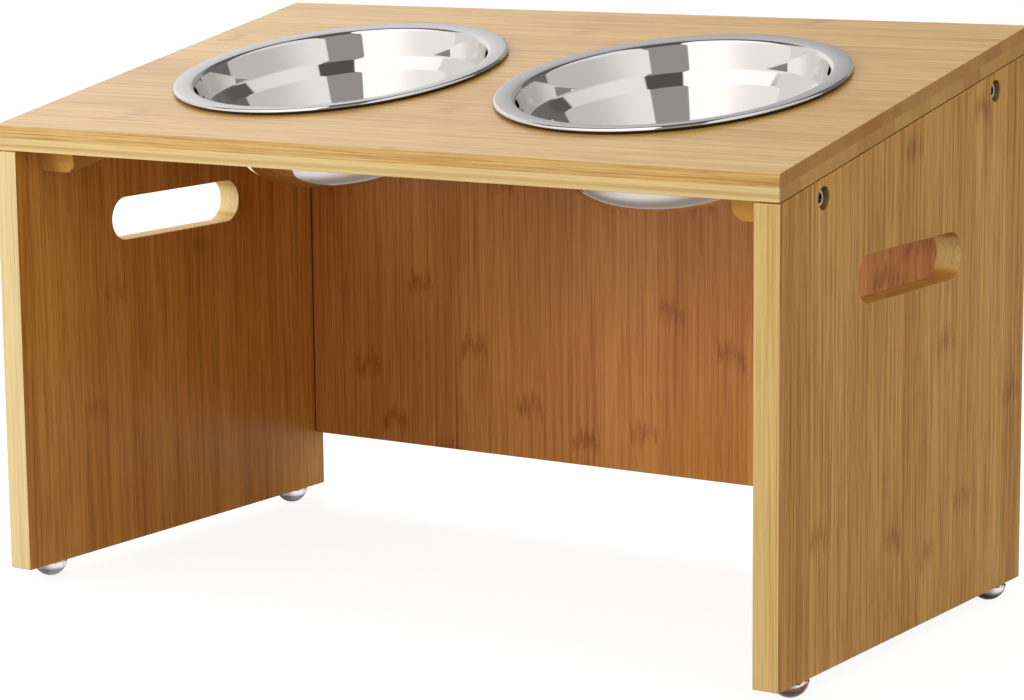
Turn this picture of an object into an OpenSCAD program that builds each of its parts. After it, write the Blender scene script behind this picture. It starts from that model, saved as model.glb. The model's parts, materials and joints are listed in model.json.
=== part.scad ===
// Raised feeder stand: a sloped bamboo top board with two lift-out steel bowls,
// carried by two side panels with handle slots and closed behind by a back panel.
// X runs across the width, the front faces -Y, Z is up and the feet stand on Z = 0.

/* [Stand] */
// Width over the outer faces of the side panels
stand_w = 520; // [500:1:700]
// Depth from the front edges to the rear edges of the side panels
stand_d = 290; // [270:1:360]
// Height of the side panels at their front edges
front_h = 250; // [200:1:400]
// Slope of the top board in degrees, falling towards the front
slope = 10.75; // [4:0.25:14]

/* [Boards] */
// Thickness of the top board
top_t = 14.5; // [12:0.5:20]
// Thickness of each side panel
side_t = 15; // [13:0.5:20]
// Thickness of the back panel
back_t = 9; // [8:0.5:12]
// Height of the back panel's lower edge above the lower edges of the side panels
back_lift = 36; // [10:1:90]

/* [Handle slots] */
// Length of each handle slot from end to end
slot_l = 122; // [100:1:150]
// Height of each handle slot
slot_h = 26; // [22:1:32]
// Distance from the underside of the top board, at mid depth, down to the slot's middle
slot_drop = 77.5; // [65:0.5:120]

/* [Rails under the top board] */
// Width of each rail along the underside of the top board
rail_w = 25; // [22:1:27]
// Height of each rail
rail_h = 18; // [17:0.5:24]
// Radius of the rounded lower inner edge of each rail
rail_round = 5; // [2:0.5:10]
// Distance from the front and rear edges of the stand to the ends of each rail
rail_setback = 20; // [14:1:28]

/* [Side screws] */
// Shank diameter of the socket head screws
screw_d = 6; // [5:0.5:6]
// Length of the screw shanks below the head
screw_l = 20; // [16:1:22]
// Diameter of the screw heads
head_d = 10; // [9:0.5:10.5]
// Height of the screw heads
head_h = 6; // [4.5:0.5:6.5]
// Hexagon socket width across its flats
socket_af = 5; // [3:0.5:5]
// Depth of the hexagon socket
socket_depth = 3; // [2:0.5:3.5]
// Diameter of the counterbored holes in the side panels
bore_d = 12; // [11:0.5:13]
// Thickness of side panel left under each screw head
seat_web = 6; // [4:0.5:6]
// Distance from the front and rear edges of the stand to the screws
screw_inset = 44; // [38:1:60]
// Distance from the underside of the top board down to the screws
screw_drop = 11; // [10:0.5:12]
// Outer diameter of the threaded inserts in the rails
insert_d = 9; // [8:0.5:9.5]
// Length of the threaded inserts
insert_l = 13; // [9:0.5:15]

/* [Dowels in the back panel] */
// Diameter of the dowels
dowel_d = 5; // [4:0.5:6]
// Depth of each dowel in a side panel
dowel_side_l = 10; // [7:0.5:11]
// Depth of each dowel in the back panel
dowel_back_l = 14; // [10:0.5:20]
// Distance from the lower and upper edges of the back panel to the dowels
dowel_inset = 42; // [30:1:60]

/* [Rail screws] */
// Shank diameter of the countersunk screws that hold the rails to the top board
rail_screw_d = 4; // [3:0.5:5]
// Head diameter of the countersunk screws
rail_screw_head_d = 8; // [7:0.5:9]
// Depth that the countersunk screws reach into the top board
rail_screw_bite = 8; // [6:0.5:9]
// Distance between the two countersunk screws of a rail
rail_screw_pitch = 120; // [80:1:140]

/* [Bowls] */
// Distance between the middles of the two bowls
bowl_pitch = 228; // [212:1:230]
// Diameter over the rolled rim of a bowl
rim_d = 200; // [190:1:205]
// Diameter of a bowl's mouth inside the flat rim
mouth_d = 176; // [160:1:180]
// Depth of a bowl from the top board's surface to the outside of its base
bowl_depth = 59; // [50:1:80]
// Thickness of the steel sheet
sheet_t = 0.8; // [0.6:0.1:1.2]
// Diameter of the rolled edge
bead_d = 3.2; // [2.4:0.2:4]
// Fall of the flat rim from its rolled edge to the mouth
rim_fall = 1; // [0:0.1:1.4]
// Depth of the upper edge of the ledge that runs around the inside
ledge_depth = 14; // [10:0.5:18]
// Height of the ledge
ledge_h = 7; // [4:0.5:10]
// Width of the ledge, by which the bowl narrows there
ledge_w = 7; // [4:0.5:10]
// Narrowing of the wall between the mouth and the ledge
wall_draw = 3; // [1:0.5:5]
// Diameter where the lower wall's line meets the base
base_d = 118; // [100:1:124]
// Radius of the bend between the lower wall and the base
base_round = 26; // [14:1:30]
// Clearance between a bowl's wall and its cut-out in the top board
cutout_clear = 1.5; // [1:0.1:3]

/* [Feet] */
// Diameter of each domed foot against the panel
foot_d = 20.5; // [14:0.5:22]
// Height of each foot
foot_h = 8.5; // [5:0.5:10]
// Diameter of the flat face that each foot stands on
foot_flat_d = 6; // [4:0.5:8]
// Distance from the front and rear edges of the stand to the middles of the feet
foot_inset = 26; // [16:1:60]

/* [Clearances] */
// Gap around parts that are glued or pressed into the boards
glue_gap = 0.1; // [0.05:0.01:0.2]
// Gap around screw shanks that pass freely through a board
shank_gap = 0.25; // [0.1:0.05:0.4]
// Free depth beyond the end of a screw or dowel in its blind hole
end_gap = 0.8; // [0.4:0.1:0.9]
// Gap between a bowl's rolled edge and the top board
seat_gap = 0.2; // [0.1:0.05:0.4]

/* [Hidden] */
$fn = 96;

// Which side, which end and which height a repeated part sits at
LEFT = -1;
RIGHT = 1;
FRONT = -1;
REAR = 1;
LOWER = -1;
UPPER = 1;

// Colours of the finishes
TOP_COLOUR = [0.86, 0.70, 0.47];
PANEL_COLOUR = [0.78, 0.58, 0.30];
BACK_COLOUR = [0.70, 0.48, 0.27];
STEEL_COLOUR = [0.80, 0.80, 0.82];
SCREW_COLOUR = [0.62, 0.62, 0.64];
BRASS_COLOUR = [0.78, 0.64, 0.32];
DOWEL_COLOUR = [0.84, 0.72, 0.54];
FOOT_COLOUR = [0.85, 0.88, 0.90, 0.6];

// Overlap that carries a cut past the face it opens on
CUT = 1;
// Steps in each bend of the bowl's section
BEND_STEPS = 6;
// Smallest bends of the bowl's section, at the ledge and at the mouth
LEDGE_BEND = 3;
MOUTH_BEND = 2.5;
// Chamfer at the ends of screws, inserts and dowels
END_CHAMFER = 0.6;

front_y = -stand_d / 2;
rear_y = stand_d / 2;
inner_x = stand_w / 2 - side_t;
panel_bottom_z = foot_h;
slope_mid_z = underside_z(0);
screw_reach = stand_d / 2 - screw_inset;
rail_l = (stand_d - 2 * rail_setback) / cos(slope);
bore_depth = side_t - seat_web;
rail_screw_l = rail_h + rail_screw_bite;
back_bottom_z = panel_bottom_z + back_lift;
back_top_z = underside_z(rear_y - back_t);
mouth_r = mouth_d / 2;
cutout_r = mouth_r + sheet_t / 2 + cutout_clear;

// Height of the top board's underside at a given depth
function underside_z(y) = panel_bottom_z + front_h + (y - front_y) * tan(slope);

// Height of the top board's upper surface at a given depth
function surface_z(y) = underside_z(y) + top_t / cos(slope);

function unit(v) = v / norm(v);

// Points of an arc of radius r that rounds the corner b of the path a, b, c
function corner_arc(a, b, c, r) =
    let (
        to_a = unit(a - b),
        to_c = unit(c - b),
        half = acos(to_a * to_c) / 2,
        centre = b + unit(to_a + to_c) * r / sin(half),
        first = b + to_a * r / tan(half) - centre,
        last = b + to_c * r / tan(half) - centre,
        start = atan2(first.y, first.x),
        turn = atan2(first.x * last.y - first.y * last.x, first * last)
    )
    [for (i = [0:BEND_STEPS]) centre + r * [cos(start + turn * i / BEND_STEPS), sin(start + turn * i / BEND_STEPS)]];

// A path with each of its inner corners rounded by the radius listed for it
function rounded_path(corners, radii) = [
    corners[0],
    for (i = [1:len(corners) - 2]) each corner_arc(corners[i - 1], corners[i], corners[i + 1], radii[i - 1]),
    corners[len(corners) - 1]
];

// The path moved sideways by d, to the left of its direction
function side_path(path, d) =
    let (last = len(path) - 1)
    [for (i = [0:last])
        let (along = unit(path[min(i + 1, last)] - path[max(i - 1, 0)]))
        path[i] + d * [-along.y, along.x]];

function reversed(list) = [for (i = [len(list) - 1:-1:0]) list[i]];

// Middle line of a bowl's sheet, from the centre of its base to its rolled edge.
// The first number is the radius and the second the height above the top board.
function bowl_corners() =
    let (
        base_z = -bowl_depth + sheet_t / 2,
        rim_z = seat_gap + bead_d - sheet_t / 2,
        ledge_r = mouth_r - wall_draw
    )
    [
        [0, base_z],
        [base_d / 2, base_z],
        [ledge_r - ledge_w, -ledge_depth - ledge_h],
        [ledge_r, -ledge_depth],
        [mouth_r, rim_z - rim_fall],
        [rim_d / 2 - bead_d / 2, rim_z]
    ];

// Frame of the top board: Z = 0 is its underside and +Y runs up the slope
module on_slope() {
    translate([0, 0, slope_mid_z]) rotate([slope, 0, 0]) children();
}

// Parts for the left are mirror images of those for the right
module on_side(side) {
    if (side == LEFT) mirror([1, 0, 0]) children();
    else children();
}

// A board whose section lies in the Y-Z plane, from one X to another
module board(section, from_x, to_x) {
    translate([from_x, 0, 0])
        rotate([90, 0, 90])
            linear_extrude(to_x - from_x)
                polygon(section);
}

// Round bar along X, from one X to another
module bar_x(from_x, to_x, d) {
    translate([from_x, 0, 0]) rotate([0, 90, 0]) cylinder(h = to_x - from_x, d = d);
}

// Place of a side screw on the right-hand side
module at_screw(end) {
    on_slope() translate([0, end * screw_reach / cos(slope), -screw_drop]) children();
}

// Place of a countersunk screw on the right-hand rail, at the rail's lower face
module at_rail_screw(end) {
    on_slope() translate([inner_x - rail_w / 2, end * rail_screw_pitch / 2, -rail_h]) children();
}

// Place of a dowel in the right-hand end of the back panel
module at_dowel(level) {
    height = level == LOWER ? back_bottom_z + dowel_inset : back_top_z - dowel_inset;
    translate([inner_x, rear_y - back_t / 2, height]) children();
}

module top_panel() {
    section = [
        [front_y, underside_z(front_y)],
        [rear_y, underside_z(rear_y)],
        [rear_y, surface_z(rear_y)],
        [front_y, surface_z(front_y)]
    ];
    color(TOP_COLOUR)
        difference() {
            board(section, -stand_w / 2, stand_w / 2);
            for (side = [LEFT, RIGHT]) {
                on_slope()
                    translate([side * bowl_pitch / 2, 0, -CUT])
                        cylinder(h = top_t + 2 * CUT, r = cutout_r);
                for (end = [FRONT, REAR])
                    on_side(side)
                        at_rail_screw(end)
                            cylinder(h = rail_screw_l + end_gap, d = rail_screw_d + 2 * glue_gap);
            }
        }
}

// Rounded slot through a side panel, lying level
module handle_slot() {
    run = slot_l - slot_h;
    translate([inner_x - CUT, 0, slope_mid_z - slot_drop]) {
        for (end = [FRONT, REAR])
            translate([0, end * run / 2, 0]) bar_x(0, side_t + 2 * CUT, slot_h);
        translate([0, -run / 2, -slot_h / 2]) cube([side_t + 2 * CUT, run, slot_h]);
    }
}

module side_panel(side) {
    section = [
        [front_y, panel_bottom_z],
        [rear_y, panel_bottom_z],
        [rear_y, underside_z(rear_y)],
        [front_y, underside_z(front_y)]
    ];
    color(PANEL_COLOUR)
        on_side(side)
            difference() {
                board(section, inner_x, stand_w / 2);
                handle_slot();
                for (end = [FRONT, REAR])
                    at_screw(end) {
                        bar_x(inner_x + seat_web, stand_w / 2 + CUT, bore_d);
                        bar_x(inner_x - CUT, stand_w / 2, screw_d + 2 * shank_gap);
                    }
                for (level = [LOWER, UPPER])
                    at_dowel(level)
                        bar_x(-CUT, dowel_side_l + end_gap, dowel_d + 2 * glue_gap);
            }
}

module left_panel() {
    side_panel(LEFT);
}

module right_panel() {
    side_panel(RIGHT);
}

module back_panel() {
    section = [
        [rear_y - back_t, back_bottom_z],
        [rear_y, back_bottom_z],
        [rear_y, underside_z(rear_y)],
        [rear_y - back_t, back_top_z]
    ];
    color(BACK_COLOUR)
        difference() {
            board(section, -inner_x, inner_x);
            for (side = [LEFT, RIGHT])
                for (level = [LOWER, UPPER])
                    on_side(side)
                        at_dowel(level)
                            bar_x(-dowel_back_l - end_gap, CUT, dowel_d + 2 * glue_gap);
        }
}

// Section of a rail across its length: the lower inner corner is rounded
module rail_section() {
    difference() {
        translate([-rail_w, -rail_h]) square([rail_w, rail_h]);
        difference() {
            translate([-rail_w - CUT, -rail_h - CUT]) square(rail_round + CUT);
            translate([-rail_w + rail_round, -rail_h + rail_round]) circle(rail_round);
        }
    }
}

module rail(side) {
    tip_depth = screw_l - seat_web + end_gap;
    color(PANEL_COLOUR)
        on_side(side)
            difference() {
                on_slope()
                    translate([inner_x, rail_l / 2, 0])
                        rotate([90, 0, 0])
                            linear_extrude(rail_l)
                                rail_section();
                for (end = [FRONT, REAR]) {
                    at_screw(end) {
                        bar_x(inner_x - insert_l, inner_x + CUT, insert_d + 2 * glue_gap);
                        bar_x(inner_x - tip_depth, inner_x + CUT, screw_d + 2 * shank_gap);
                    }
                    at_rail_screw(end) {
                        translate([0, 0, -CUT])
                            cylinder(h = rail_h + 2 * CUT, d = rail_screw_d + 2 * glue_gap);
                        countersink(glue_gap, CUT);
                    }
                }
            }
}

module left_rail() {
    rail(LEFT);
}

module right_rail() {
    rail(RIGHT);
}

// Countersunk cone with its wide end at Z = 0, grown by a gap and carried below by a cut
module countersink(gap, cut) {
    wide = rail_screw_head_d + 2 * gap;
    narrow = rail_screw_d + 2 * gap;
    cylinder(h = (wide - narrow) / 2, d1 = wide, d2 = narrow);
    translate([0, 0, -cut]) cylinder(h = cut, d = wide);
}

module bowl(side) {
    middle = rounded_path(bowl_corners(), [base_round, LEDGE_BEND, LEDGE_BEND, MOUTH_BEND]);
    color(STEEL_COLOUR)
        on_slope()
            translate([side * bowl_pitch / 2, 0, top_t])
                rotate_extrude() {
                    polygon(concat(side_path(middle, -sheet_t / 2), reversed(side_path(middle, sheet_t / 2))));
                    translate([rim_d / 2 - bead_d / 2, seat_gap + bead_d / 2]) circle(d = bead_d);
                }
}

module left_bowl() {
    bowl(LEFT);
}

module right_bowl() {
    bowl(RIGHT);
}

// Socket head screw through a side panel into its insert
module side_screw(side, end) {
    head_x = inner_x + seat_web;
    shank_section = [
        [0, -screw_l],
        [screw_d / 2 - END_CHAMFER, -screw_l],
        [screw_d / 2, -screw_l + END_CHAMFER],
        [screw_d / 2, 0],
        [head_d / 2, 0],
        [head_d / 2, head_h - END_CHAMFER],
        [head_d / 2 - END_CHAMFER, head_h],
        [0, head_h]
    ];
    color(SCREW_COLOUR)
        on_side(side)
            at_screw(end)
                translate([head_x, 0, 0])
                    rotate([0, 90, 0])
                        difference() {
                            rotate_extrude() polygon(shank_section);
                            translate([0, 0, head_h - socket_depth])
                                cylinder(h = socket_depth + CUT, d = socket_af / cos(30), $fn = 6);
                        }
}

// Threaded insert, flush with the outer face of its rail
module insert(side, end) {
    bore_r = screw_d / 2 + glue_gap;
    section = [
        [bore_r, 0],
        [insert_d / 2 - END_CHAMFER, 0],
        [insert_d / 2, END_CHAMFER],
        [insert_d / 2, insert_l],
        [bore_r, insert_l]
    ];
    color(BRASS_COLOUR)
        on_side(side)
            at_screw(end)
                translate([inner_x - insert_l, 0, 0])
                    rotate([0, 90, 0])
                        rotate_extrude() polygon(section);
}

// Dowel between the back panel's end and a side panel
module dowel(side, level) {
    dowel_l = dowel_side_l + dowel_back_l;
    section = [
        [0, 0],
        [dowel_d / 2 - END_CHAMFER, 0],
        [dowel_d / 2, END_CHAMFER],
        [dowel_d / 2, dowel_l - END_CHAMFER],
        [dowel_d / 2 - END_CHAMFER, dowel_l],
        [0, dowel_l]
    ];
    color(DOWEL_COLOUR)
        on_side(side)
            at_dowel(level)
                translate([-dowel_back_l, 0, 0])
                    rotate([0, 90, 0])
                        rotate_extrude() polygon(section);
}

// Countersunk screw up through a rail into the top board
module rail_screw(side, end) {
    cone_h = (rail_screw_head_d - rail_screw_d) / 2;
    section = [
        [0, 0],
        [rail_screw_head_d / 2, 0],
        [rail_screw_d / 2, cone_h],
        [rail_screw_d / 2, rail_screw_l - rail_screw_d],
        [0, rail_screw_l]
    ];
    color(SCREW_COLOUR)
        on_side(side)
            at_rail_screw(end)
                difference() {
                    rotate_extrude() polygon(section);
                    cross_recess();
                }
}

// Cross recess in the head of a countersunk screw
module cross_recess() {
    arm_l = rail_screw_head_d / 2;
    arm_w = rail_screw_head_d / 8;
    for (turn = [0, 90])
        rotate([0, 0, turn])
            translate([-arm_l / 2, -arm_w / 2, -CUT])
                cube([arm_l, arm_w, CUT + arm_w]);
}

// Domed foot: a ball cut by the panel above and by the floor below
module foot(side, end) {
    foot_r = foot_d / 2;
    flat_r = foot_flat_d / 2;
    ball_z = (foot_r * foot_r + foot_h * foot_h - flat_r * flat_r) / (2 * foot_h);
    ball_r = norm([flat_r, ball_z]);
    color(FOOT_COLOUR)
        on_side(side)
            translate([stand_w / 2 - side_t / 2, end * (stand_d / 2 - foot_inset), 0])
                rotate_extrude()
                    intersection() {
                        translate([0, ball_z]) circle(ball_r);
                        square([ball_r + CUT, foot_h]);
                    }
}

top_panel();
left_panel();
right_panel();
back_panel();
left_rail();
right_rail();
left_bowl();
right_bowl();
side_screw(LEFT, FRONT);  // left_front_screw
side_screw(LEFT, REAR);  // left_rear_screw
side_screw(RIGHT, FRONT);  // right_front_screw
side_screw(RIGHT, REAR);  // right_rear_screw
insert(LEFT, FRONT);  // left_front_insert
insert(LEFT, REAR);  // left_rear_insert
insert(RIGHT, FRONT);  // right_front_insert
insert(RIGHT, REAR);  // right_rear_insert
dowel(LEFT, LOWER);  // left_lower_dowel
dowel(LEFT, UPPER);  // left_upper_dowel
dowel(RIGHT, LOWER);  // right_lower_dowel
dowel(RIGHT, UPPER);  // right_upper_dowel
rail_screw(LEFT, FRONT);  // left_front_rail_screw
rail_screw(LEFT, REAR);  // left_rear_rail_screw
rail_screw(RIGHT, FRONT);  // right_front_rail_screw
rail_screw(RIGHT, REAR);  // right_rear_rail_screw
foot(LEFT, FRONT);  // left_front_foot
foot(LEFT, REAR);  // left_rear_foot
foot(RIGHT, FRONT);  // right_front_foot
foot(RIGHT, REAR);  // right_rear_foot
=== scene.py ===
"""Dresses a raised pet feeder: bamboo boards, steel bowls, recessed screws and clear feet."""

import json
import logging
import math
from collections.abc import Callable, Iterable
from dataclasses import dataclass, field, replace
from enum import Enum

import bmesh
import bpy
from mathutils import Matrix, Quaternion, Vector


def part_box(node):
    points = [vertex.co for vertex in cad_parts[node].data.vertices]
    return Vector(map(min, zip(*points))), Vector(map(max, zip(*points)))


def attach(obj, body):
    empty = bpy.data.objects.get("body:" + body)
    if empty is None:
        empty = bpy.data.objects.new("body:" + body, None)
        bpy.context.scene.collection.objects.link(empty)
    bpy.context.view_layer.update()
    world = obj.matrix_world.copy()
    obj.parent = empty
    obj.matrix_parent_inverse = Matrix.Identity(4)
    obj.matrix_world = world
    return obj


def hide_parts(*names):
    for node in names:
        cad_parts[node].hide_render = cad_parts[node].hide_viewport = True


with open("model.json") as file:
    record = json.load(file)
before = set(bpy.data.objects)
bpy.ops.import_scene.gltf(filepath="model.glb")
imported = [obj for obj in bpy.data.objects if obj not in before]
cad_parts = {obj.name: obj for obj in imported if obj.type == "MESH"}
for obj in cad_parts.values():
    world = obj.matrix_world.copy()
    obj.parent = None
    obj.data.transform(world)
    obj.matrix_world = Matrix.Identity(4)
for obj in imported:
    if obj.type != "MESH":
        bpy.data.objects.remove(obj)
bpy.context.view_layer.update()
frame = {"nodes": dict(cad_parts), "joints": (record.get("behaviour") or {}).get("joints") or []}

Point = tuple[float, float]
Triple = tuple[float, float, float]
Colour = tuple[float, float, float, float]
# A ramp is where a smooth step starts and ends, and its result at either end
Ramp = tuple[float, float, float, float]
# A pattern is a noise's cycles along three axes, its detail and its roughness
Pattern = tuple[Triple, float, float]
Socket = bpy.types.NodeSocket
Sockets = bpy.types.bpy_prop_collection
Material = bpy.types.Material
Object = bpy.types.Object
Form = bmesh.types.BMesh
Edge = bmesh.types.BMEdge
Vert = bmesh.types.BMVert
Value = Socket | float | Colour | Triple | Vector

MM = 0.001
PER_METRE = 1000.0
LOG = logging.getLogger("feeder")
SMOOTH_LIMIT = math.radians(35)
FLAT_LIMIT = math.radians(0.3)
SHARP_LIMIT = math.radians(40)
TOUCH = 1e-6
WHITE: Colour = (1.0, 1.0, 1.0, 1.0)


class Named(Enum):
    """A choice that the nodes spell in small letters."""

    @property
    def word(self) -> str:
        """The choice's name as the nodes spell it."""
        return self.name.lower()


class Side(Named):
    """The two sides of the stand, as seen from the front."""

    LEFT = -1
    RIGHT = 1


class End(Named):
    """The two ends of a side, front towards the pet."""

    FRONT = -1
    REAR = 1


class Grain(Enum):
    """Which way a board's strips run; the slope tilts the first and the last."""

    ACROSS_TOP = "across_top"
    UP_SIDE = "up_side"
    UP_BACK = "up_back"
    ALONG_SLOPE = "along_slope"


class NodeSheet:
    """Short calls that add shader nodes to one tree and link them."""

    # A Mix node has sockets for every kind of value, and these are those of its colours and its numbers
    colour_mix: tuple[int, ...] = (0, 6, 7)
    number_mix: tuple[int, ...] = (0, 2, 3)

    def __init__(self, tree: bpy.types.NodeTree) -> None:
        """Keeps the node tree of a material, a world or a group."""
        self.tree = tree

    def node(self, kind: str, **settings: object) -> bpy.types.Node:
        """Adds a node.

        Args:
            kind: the node's type name.
            settings: the node's own settings.

        Returns:
            The new node.
        """
        made = self.tree.nodes.new(kind)
        for key, value in settings.items():
            setattr(made, key, value)
        return made

    def feed(self, socket: Socket, value: Value) -> None:
        """Links an output to a socket, or writes a plain value on it.

        Args:
            socket: the input to feed.
            value: an output of another node, or a plain value.
        """
        if isinstance(value, Socket):
            self.tree.links.new(value, socket)
        else:
            socket.default_value = value

    def feed_all(self, sockets: Iterable[Socket], values: Iterable[Value]) -> None:
        """Feeds several sockets in order."""
        for socket, value in zip(sockets, values):
            self.feed(socket, value)

    def math(self, operation: str, *values: Value) -> Socket:
        """Adds a Math node.

        Args:
            operation: the node's operation.
            values: its inputs, in order.

        Returns:
            The result.
        """
        made = self.node("ShaderNodeMath", operation=operation)
        self.feed_all(made.inputs, values)
        return made.outputs[0]

    def vector(self, operation: str, *values: Value) -> Socket:
        """Adds a Vector Math node.

        Args:
            operation: the node's operation.
            values: its inputs, in order.

        Returns:
            The vector result, or the number for a product or length.
        """
        made = self.node("ShaderNodeVectorMath", operation=operation)
        self.feed_all(made.inputs, values)
        return made.outputs["Value" if operation in ("DOT_PRODUCT", "LENGTH") else "Vector"]

    def parts(self, vector: Value) -> tuple[Socket, ...]:
        """Splits a vector into its three numbers.

        Args:
            vector: the vector to split.

        Returns:
            The three outputs.
        """
        made = self.node("ShaderNodeSeparateXYZ")
        self.feed(made.inputs[0], vector)
        return tuple(made.outputs)

    def joined(self, x: Value, y: Value, z: Value) -> Socket:
        """Joins three numbers into a vector.

        Args:
            x: the first number.
            y: the second number.
            z: the third number.

        Returns:
            The vector.
        """
        made = self.node("ShaderNodeCombineXYZ")
        self.feed_all(made.inputs, (x, y, z))
        return made.outputs[0]

    def mapped(self, place: Socket, turn: Matrix, shift: Vector | Triple = (0, 0, 0)) -> Socket:
        """Moves points from metres to other axes in millimetres.

        Args:
            place: the point in metres.
            turn: the rotation to the other axes.
            shift: where the old origin lands, in millimetres.

        Returns:
            The point in the other axes.
        """
        made = self.node("ShaderNodeMapping", vector_type="POINT")
        made.inputs["Rotation"].default_value = turn.to_euler("XYZ")
        made.inputs["Location"].default_value = shift
        made.inputs["Scale"].default_value = (PER_METRE,) * 3
        self.feed(made.inputs["Vector"], place)
        return made.outputs[0]

    def noise(self, place: Value, stretch: Triple, detail: float = 2.0, rough: float = 0.5) -> Socket:
        """Adds a noise pattern stretched along the axes.

        Args:
            place: the point in the pattern.
            stretch: cycles per unit along each axis.
            detail: the number of finer octaves.
            rough: the share of the finer octaves.

        Returns:
            The noise value, from 0 to 1.
        """
        made = self.node("ShaderNodeTexNoise", noise_dimensions="3D")
        self.feed(made.inputs["Vector"], self.vector("MULTIPLY", place, stretch))
        made.inputs["Scale"].default_value = 1.0
        made.inputs["Detail"].default_value = detail
        made.inputs["Roughness"].default_value = rough
        return made.outputs[0]

    def span(self, value: Value, low: Value, high: Value, start: float = 0.0, end: float = 1.0) -> Socket:
        """Maps a range smoothly to another and stops at both ends.

        Args:
            value: the number to map.
            low: where the range starts.
            high: where the range ends.
            start: the result at the start.
            end: the result at the end.

        Returns:
            The mapped number.
        """
        made = self.node("ShaderNodeMapRange", interpolation_type="SMOOTHSTEP")
        names = ("Value", "From Min", "From Max", "To Min", "To Max")
        self.feed_all((made.inputs[name] for name in names), (value, low, high, start, end))
        return made.outputs[0]

    def mixed(self, share: Value, first: Value, second: Value, way: str = "MIX") -> Socket:
        """Mixes two colours.

        Args:
            share: how much of the second colour shows.
            first: the first colour.
            second: the second colour.
            way: the mixing mode.

        Returns:
            The mixed colour.
        """
        made = self.node("ShaderNodeMix", data_type="RGBA", blend_type=way)
        self.feed_all((made.inputs[index] for index in self.colour_mix), (share, first, second))
        return made.outputs[2]

    def either(self, share: Value, first: Value, second: Value) -> Socket:
        """Mixes two numbers.

        Args:
            share: how much of the second number counts.
            first: the first number.
            second: the second number.

        Returns:
            The mixed number.
        """
        made = self.node("ShaderNodeMix", data_type="FLOAT")
        self.feed_all((made.inputs[index] for index in self.number_mix), (share, first, second))
        return made.outputs[0]


class Group:
    """A shader node group that is built once and placed in several materials."""

    title = "group"
    inputs: tuple[tuple[str, str], ...] = ()
    outputs: tuple[tuple[str, str], ...] = ()

    def tree(self) -> bpy.types.NodeTree:
        """Finds the group's node tree, and builds it the first time.

        Returns:
            The node tree.
        """
        made = bpy.data.node_groups.get(self.title)
        if made is None:
            made = bpy.data.node_groups.new(self.title, "ShaderNodeTree")
            for way, sockets in (("INPUT", self.inputs), ("OUTPUT", self.outputs)):
                for name, kind in sockets:
                    made.interface.new_socket(name=name, in_out=way, socket_type="NodeSocket" + kind)
            sheet = NodeSheet(made)
            entry = sheet.node("NodeGroupInput")
            leave = sheet.node("NodeGroupOutput")
            for name, value in self.draw(sheet, entry.outputs).items():
                sheet.feed(leave.inputs[name], value)
        return made

    def draw(self, sheet: NodeSheet, given: Sockets) -> dict[str, Socket]:
        """Draws the group's nodes.

        Args:
            sheet: the group's sheet.
            given: the group's inputs by name.

        Returns:
            The outputs by name.
        """
        raise NotImplementedError

    def put(self, sheet: NodeSheet, **values: Value) -> Sockets:
        """Places the group in a material.

        Args:
            sheet: the material's sheet.
            values: the group's inputs, with _ for a space.

        Returns:
            The group's outputs by name.
        """
        made = sheet.node("ShaderNodeGroup", node_tree=self.tree())
        for name, value in values.items():
            sheet.feed(made.inputs[name.replace("_", " ")], value)
        return made.outputs


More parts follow.
